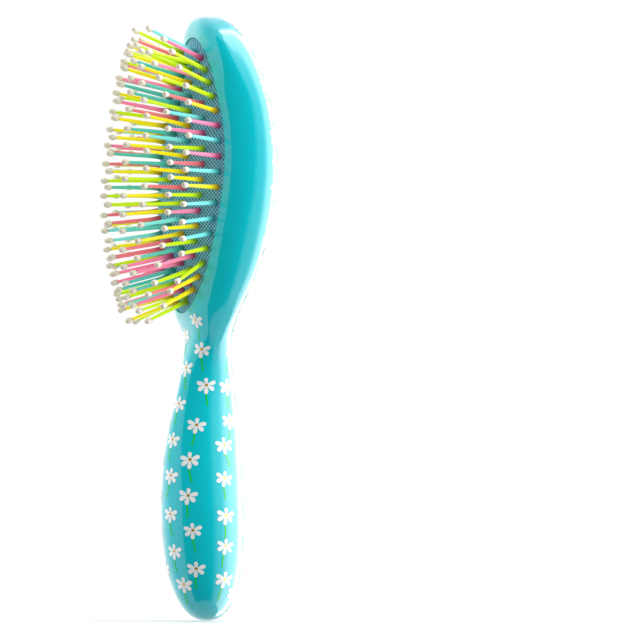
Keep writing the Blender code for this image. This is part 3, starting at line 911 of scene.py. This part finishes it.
MESH_TEAL = 0x84CEE8
HOLE_TEAL = 0x0A4E60


def width_over_dome(x, height):
    """Length of the cover from its middle line to x, measured over the dome."""
    spots = [x * i / COVER_STEPS for i in range(COVER_STEPS + 1)]
    path = [(spot, cushion_level(spot, height)) for spot in spots]
    return math.copysign(sum(math.dist(*span) for span in zip(path[1:], path)), x)


# Soft matt yarn, with rows of small holes that show the dark rubber
mesh, shader, _ = new_material("knitted_polyester_mesh", {"Roughness": 0.85})
uv = add_node(mesh, "ShaderNodeUVMap", {"uv_map": "cloth"})
pitch, middle = (MESH_PITCH, MESH_PITCH, 1), (0.5, 0.5, 0)
spans = []
for shift in ((0, 0, 0), middle):
    node = uv
    for operation, value in (("DIVIDE", pitch), ("ADD", shift), ("FRACTION", shift), ("SUBTRACT", middle),
                             ("MULTIPLY", pitch), ("LENGTH", pitch)):
        node = add_node(mesh, "ShaderNodeVectorMath", {"operation": operation}, {1: value}, [(0, node, 0)])
    spans.append(node)
nearest = add_node(mesh, "ShaderNodeMath", {"operation": "MINIMUM"}, (),
                   [(index, span, "Value") for index, span in enumerate(spans)])
yarn = add_node(mesh, "ShaderNodeMapRange", SMOOTH_STEP,
                {"From Min": MESH_HOLE * 0.35, "From Max": MESH_HOLE * 0.75}, [("Value", nearest, 0)])
add_node(mesh, "ShaderNodeMix", COLOUR_MIX, {6: linear(HOLE_TEAL), 7: linear(MESH_TEAL)},
         [(0, yarn, 0)], [(2, shader, "Base Color")])
add_node(mesh, "ShaderNodeBump", (), {"Strength": 0.6, "Distance": 0.0003}, [("Height", yarn, 0)],
         [(0, shader, "Normal")])

mesh_cover = dome_shell("mesh_cover", COVER_RINGS, COVER_INSET, COVER_LIFT, COVER_THICKNESS)
cloth = mesh_cover.data.uv_layers.new(name="cloth")
places = []
for vertex in mesh_cover.data.vertices:
    x, _, z = vertex.co
    places.append((width_over_dome(x, z + GRIP_HEIGHT) * 1000, z * 1000))
for loop in mesh_cover.data.loops:
    cloth.data[loop.index].uv = places[loop.vertex_index]
coat(mesh_cover, mesh)
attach(mesh_cover, "brush_body")
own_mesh(mesh_cover)

# Pins. Nine staggered files of tapered nylon pins with a flared foot, pushed through the pad from
# behind. Each has a drop of cream epoxy on its tip. They fan out over the oval, the outer ones most.
# Files are named by their share of the oval's half width; leans are degrees (across, along) by row.

PIN_FIELD_HEIGHT = 0.1662
PIN_FIELD_LENGTH = 0.0914
PIN_ROWS = 18
PIN_MARGIN = 0.0028
LEAN_ACROSS = 34
LEAN_ALONG = 20
LEAN_GROWTH = 1.3
LEAN_FADE = 1.7
LEAN_SPREAD = 1.2
CROWDING_SHARE = 0.09
FULL_ROW_SHARES = (-1, -0.5, 0, 0.5, 1)
GAP_ROW_SHARES = (-0.75, -0.25, 0.25, 0.75)
END_ROW_SHARES = (-1, -0.75, 0, 0.75, 1)
LEAN_SHARES = {0: 0, 0.25: 0.456}
OUTER_LEANS = {
    1: ((6, 24), (18, 23), (27, 19), (34, 13), (34, 10), (31, 6), (30, 6), (25, 4), (26, 2), (27, 2),
        (28, -2), (30, -5), (35, -7), (38, -7), (34, -24), (30, -19), (26, -21), (2, -25)),
    0.75: ((4, 25), (8, 12), (16, 13), (22, 12), (30, 9), (30, 6), (32, 4), (34, 1), (36, 1), (38, 2),
           (37, 0), (38, -2), (36, -3), (35, -5), (31, -10), (28, -14), (22, -12), (8, -16)),
    0.5: ((0, 20), (0, 20), (4, 17), (9, 14), (15, 11), (21, 10), (22, 5), (25, 5), (26, 3), (25, 1),
          (24, -2), (22, -7), (18, -8), (16, -10), (7, -11), (4, -15), (2, -17), (0, -20)),
}
PIN_SIDES = 10
PIN_STATIONS = (
    (-0.0009, 0.00112), (0.0002, 0.00126), (0.0010, 0.00121), (0.0024, 0.00096), (0.0046, 0.00083),
    (0.0110, 0.00074), (0.0194, 0.00060),
)
DROP_STATIONS = (
    (0.0193, 0.00063), (0.0199, 0.00094), (0.0206, 0.00117), (0.0214, 0.00116), (0.0220, 0.00088),
    (0.0223, 0.00048), (0.0224, 0.00018),
)
OUTER_SHORTER = 0.0036
FLARE_END = 0.0024
SHAFT_LENGTH = 0.0170
# Painted shade darkens each pin over this length from its foot
PAINTED_FOOT_SHADE = 0.0065
# Strength of the painted glow: emission that brightens the pins as light would
PAINTED_NYLON_GLOW = 0.3
# Name, colour, and a darker foot colour that is painted shade
NYLON_COLOURS = {
    "y": ("yellow", 0xF6E600, 0x8A6C00), "l": ("lime", 0xC8F000, 0x4A7C00), "p": ("pink", 0xF882AE, 0x7A1848),
    "r": ("coral", 0xEC7482, 0x9A3848), "t": ("teal", 0x4CC0B6, 0x0A6860), "c": ("cyan", 0x78E2E2, 0x006870),
}
TIP_CREAM = 0xFFFAEC
# Beige painted shade at the end of each drop
TIP_PAINTED_SHADE = 0xCCBEA8
FILE_COLOURS = {
    -1: "yltpylrtylpcylrtyl", -0.75: "lyptlycrlyptlycrly", -0.5: "ylytpylrcylytpylrc",
    -0.25: "tylpylyprllrcylpyl", 0: "ryytpyytytlrcrptcy", 0.25: "tltptrtytlyytrptly",
    0.5: "rlytlycyyrlcytptpl", 0.75: "clplrcplrylpylplrl", 1: "plllypcpcycccllyyl",
}


def row_height(position):
    """Height of a place along the pin field, from -1 at its bottom to 1 at its top."""
    share = position * (1 + CROWDING_SHARE * (1 - position ** 2))
    return PIN_FIELD_HEIGHT + PIN_FIELD_LENGTH / 2 * share


def pin_direction(share, height, row):
    """The outer files fan out most; no two pins of a real brush stand quite alike."""
    place = (height - PIN_FIELD_HEIGHT) / (PIN_FIELD_LENGTH / 2)
    if abs(share) in OUTER_LEANS:
        across, along = OUTER_LEANS[abs(share)][row]
    else:
        across = LEAN_ACROSS * LEAN_SHARES[abs(share)] * max(0, 1 - abs(place) ** LEAN_FADE)
        along = LEAN_ALONG * math.copysign(abs(place) ** LEAN_GROWTH, place)
    if share < 0.5:
        across += dice.uniform(-LEAN_SPREAD, LEAN_SPREAD)
        along += dice.uniform(-LEAN_SPREAD, LEAN_SPREAD)
    return direction(math.radians(math.copysign(across, share)), math.radians(along))


def lathed(name, stations, material):
    """A round piece along Z through (distance, radius) stations."""
    rings = [[(x, y, distance) for x, y in disc(radius, PIN_SIDES)] for distance, radius in stations]
    piece = draw_rings(name, rings)
    coat(piece, material)
    return piece


def make_pin(material, shorter):
    """A pin along Z; its shaft is shortened behind the flare, and each point keeps its reach, from which
    painted shade is drawn.
    """
    shaft = lathed("pin_shaft", PIN_STATIONS, material)
    pin = joined("pin", [shaft, lathed("pin_drop", DROP_STATIONS, tip_resin)])
    reach = pin.data.attributes.new("reach", "FLOAT", "POINT")
    for vertex in pin.data.vertices:
        reach.data[vertex.index].value = vertex.co.z
        vertex.co.z -= shorter * clamped((vertex.co.z - FLARE_END) / SHAFT_LENGTH)
    return pin


# Cream epoxy, glossy and a little cloudy; the drop's end is darkened to beige with painted shade
tip_resin, shader, on_piece = new_material("cream_epoxy", {})
reach = add_node(tip_resin, "ShaderNodeAttribute", {"attribute_name": "reach"})
# Painted shade: cream on the drop, beige at its very end
end = add_node(tip_resin, "ShaderNodeMapRange", SMOOTH_STEP, {"From Min": 0.0214, "From Max": 0.0225},
               [("Value", reach, "Fac")])
add_node(tip_resin, "ShaderNodeMix", COLOUR_MIX, {6: linear(TIP_CREAM), 7: linear(TIP_PAINTED_SHADE)},
         [(0, end, 0)], [(2, shader, "Base Color")])
cloud = add_node(tip_resin, "ShaderNodeTexNoise", (), {"Scale": 1500, "Detail": 2}, on_piece)
add_node(tip_resin, "ShaderNodeMapRange", (), {"To Min": 0.12, "To Max": 0.3}, [("Value", cloud, "Fac")],
         [(0, shader, "Roughness")])

# Dyed nylon lets light through; a painted glow from emission stands in for that, and painted shade darkens
# each pin where it enters the cushion
models = {}
for key, (name, colour, painted_foot_shade_colour) in NYLON_COLOURS.items():
    values = {"Emission Strength": PAINTED_NYLON_GLOW, "Roughness": 0.32}
    nylon, shader, on_piece = new_material("nylon_" + name, values)
    reach = add_node(nylon, "ShaderNodeAttribute", {"attribute_name": "reach"})
    noise = add_node(nylon, "ShaderNodeTexNoise", (), {"Scale": 900, "Detail": 2}, on_piece)
    # Painted shade: dark at the foot, full colour above this length
    rise = add_node(nylon, "ShaderNodeMapRange", SMOOTH_STEP,
                    {"From Min": -0.0002, "From Max": PAINTED_FOOT_SHADE, "To Min": 0.0, "To Max": 0.96},
                    [("Value", reach, "Fac")])
    share = add_node(nylon, "ShaderNodeMath", {"operation": "MULTIPLY_ADD"}, {1: 0.08},
                     [(0, noise, "Fac"), (2, rise, 0)])
    # The same colour, with its painted foot shade, feeds the painted glow
    add_node(nylon, "ShaderNodeMix", COLOUR_MIX, {6: linear(painted_foot_shade_colour), 7: linear(colour)},
             [(0, share, 0)], [(2, shader, "Base Color"), (2, shader, "Emission Color")])
    for shorter in (0, OUTER_SHORTER):
        models[key, shorter > 0] = make_pin(nylon, shorter)

for row in range(PIN_ROWS):
    step = 2 / (PIN_ROWS - 1)
    position = 1 - step * row
    spots = [(share, row_height(position)) for share in FULL_ROW_SHARES]
    spots += [(share, row_height(position + step / 2)) for share in GAP_ROW_SHARES]
    if row in (0, PIN_ROWS - 1):
        spots = [spot for spot in spots if spot[0] in END_ROW_SHARES]
    pins = []
    for share, height in spots:
        x = share * oval_half_width(height, PIN_MARGIN)
        foot = Vector((x, cushion_level(x, height), height - GRIP_HEIGHT))
        turn = pin_direction(share, height, row).to_track_quat("Z", "Y")
        model = models[FILE_COLOURS[share][row], abs(share) == 1]
        pins.append(copy_at(model, Matrix.Translation(foot) @ turn.to_matrix().to_4x4()))
    pin_row = joined(f"nylon_pins_{row + 1:02d}", pins)
    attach(pin_row, f"section_{row + 1:02d}")
    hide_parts(f"pin_row_{row + 1:02d}")
for model in models.values():
    bpy.data.objects.remove(model)

# Studio. A plain pale floor in a white surrounding. Large soft boxes stand to the left, to the right and
# behind the brush, one hangs above it, and a black flag round the camera keeps the lacquer deep.
# Azimuths run from the camera towards the picture's right, in degrees.

PHOTO_AZIMUTH = math.radians(70.5)
CAMERA_HEIGHT = 0.0721
CAMERA_SIDE = 0.0445
CAMERA_DISTANCE = 4.5
CAMERA_LENS = 669
SOFTBOX_DISTANCE = 1.2
# Azimuth, elevation, width, height and radiance
SOFTBOXES = {
    "softbox_left": (-97, 5, 1.0, 1.4, 2.9), "softbox_right": (71, 15, 1.4, 1.4, 2.65),
    "softbox_behind": (-175, 10, 1.0, 1.4, 1.0), "softbox_top": (30, 80, 1.0, 1.0, 1.0),
}
# What the lacquer mirrors: azimuth and brightness
MIRRORED = (
    (-180, 1.2), (-152, 1.2), (-136, 1.2), (-120, 1.0), (-104, 0.6), (-88, 0.72), (-66, 1.05), (-61, 1.25),
    (-59, 0), (27, 0), (29, 0.6), (34, 1.0), (40, 1.6), (56, 1.6), (64, 2.8), (70, 3.8), (80, 4.2), (88, 4.2),
    (98, 4.3), (112, 4.4), (120, 5.6), (127, 7), (134, 8), (142, 8), (149, 2.5), (160, 1.2), (180, 1.2),
)
MIRROR_TOP = 10.0
AMBIENT = 0.43

back_way = direction(PHOTO_AZIMUTH)
right_way = Vector((math.cos(PHOTO_AZIMUTH), math.sin(PHOTO_AZIMUTH), 0))


def aim(item, target, way, distance):
    """Set a lamp or the camera a distance away from its target, facing it."""
    item.location = target + way * distance
    item.rotation_euler = (-way).to_track_quat("-Z", "Y").to_euler()


camera = new_object("camera", bpy.data.cameras.new("camera"))
aim(camera, Vector((0, 0.0007, CAMERA_HEIGHT)) + right_way * CAMERA_SIDE, back_way, CAMERA_DISTANCE)
camera.data.lens = CAMERA_LENS
camera.data.sensor_width = 36
bpy.context.scene.camera = camera
bpy.context.scene.view_settings.view_transform = "Standard"

for name, (azimuth, elevation, width, height, radiance) in SOFTBOXES.items():
    way = direction(PHOTO_AZIMUTH + math.radians(azimuth), math.radians(elevation))
    lamp = bpy.data.lights.new(name, "AREA")
    lamp.shape = "RECTANGLE"
    lamp.size, lamp.size_y = width, height
    lamp.energy = radiance * math.pi * width * height
    softbox = new_object(name, lamp)
    aim(softbox, Vector((0, 0, CAMERA_HEIGHT)), way, SOFTBOX_DISTANCE)
    softbox.visible_camera = False
    softbox.visible_glossy = False

world = bpy.data.worlds.new("white_surrounding")
bpy.context.scene.world = world
world.use_nodes = True
world.cycles.sampling_method = "NONE"
background = world.node_tree.nodes["Background"]
background.inputs["Color"].default_value = (1, 1, 1, 1)
way = add_node(world, "ShaderNodeTexCoord")
aside, ahead = [
    add_node(world, "ShaderNodeVectorMath", {"operation": "DOT_PRODUCT"}, {1: axis}, [(0, way, 0)])
    for axis in (right_way, back_way)
]
turn = add_node(world, "ShaderNodeMath", {"operation": "ARCTAN2"}, (),
                [(0, aside, "Value"), (1, ahead, "Value")])
share = add_node(world, "ShaderNodeMapRange", (), {"From Min": -math.pi, "From Max": math.pi},
                 [("Value", turn, 0)])
cards = add_node(world, "ShaderNodeValToRGB", (), (), [(0, share, 0)])
stops = cards.color_ramp.elements
while len(stops) > 1:
    stops.remove(stops[-1])
for index, (degrees, level) in enumerate(MIRRORED):
    stop = stops[0] if index == 0 else stops.new((degrees + 180) / 360)
    stop.position = (degrees + 180) / 360
    stop.color = (level / MIRROR_TOP,) * 3 + (1,)
level = add_node(world, "ShaderNodeMath", {"operation": "MULTIPLY"}, {1: MIRROR_TOP}, [(0, cards, 0)])
height = add_node(world, "ShaderNodeSeparateXYZ", (), (), [(0, way, 0)])
# Straight above and far below, the surrounding is evenly white
above, below = [
    add_node(world, "ShaderNodeMapRange", (), {"From Min": start, "From Max": end}, [("Value", height, 2)])
    for start, end in ((0.975, 0.985), (-0.80, -0.84))
]
beyond = add_node(world, "ShaderNodeMath", {"operation": "MAXIMUM"}, (), [(0, above, 0), (1, below, 0)])
mirrored = add_node(world, "ShaderNodeMix", (), {3: 1.0}, [(0, beyond, 0), (2, level, 0)])
ray = add_node(world, "ShaderNodeLightPath")
lit = add_node(world, "ShaderNodeMix", (), {2: AMBIENT}, [(0, ray, "Is Glossy Ray"), (3, mirrored, 0)])
seen = add_node(world, "ShaderNodeMath", {"operation": "MAXIMUM"}, (),
                [(0, ray, "Is Camera Ray"), (1, ray, "Is Transmission Ray")])
add_node(world, "ShaderNodeMix", (), {3: 1.0}, [(0, seen, 0), (2, lit, 0)], [(0, background, "Strength")])

FLOOR_RADIUS = 0.40
FLOOR_DROP = 0.0002
FLOOR_WHITE = 0xEDEDED

# White paper, lit to about white; it keeps the brush's soft shadow and thins out at its edge
paper, shader, on_piece = new_material("white_paper", {
    "Roughness": 0.9, "Specular IOR Level": 0.1, "Emission Color": (1, 1, 1, 1), "Emission Strength": 0.2,
})
mottle(paper, shader, on_piece, FLOOR_WHITE, 2000, 0.01)
away = add_node(paper, "ShaderNodeVectorMath", {"operation": "LENGTH"}, (), on_piece)
add_node(paper, "ShaderNodeMapRange", SMOOTH_STEP,
         {"From Min": FLOOR_RADIUS * 0.3, "From Max": FLOOR_RADIUS * 0.95, "To Min": 1.0, "To Max": 0.0},
         [("Value", away, "Value")], [(0, shader, "Alpha")])

paper_floor = flat_disc(96, FLOOR_RADIUS)
paper_floor.name = "paper_floor"
paper_floor.location.z = -GRIP_HEIGHT - FLOOR_DROP
bpy.ops.object.transform_apply(location=True, rotation=False, scale=False)
coat(paper_floor, paper)
paper_floor.visible_diffuse = False
paper_floor.visible_glossy = False

bpy.data.objects.remove(skin)
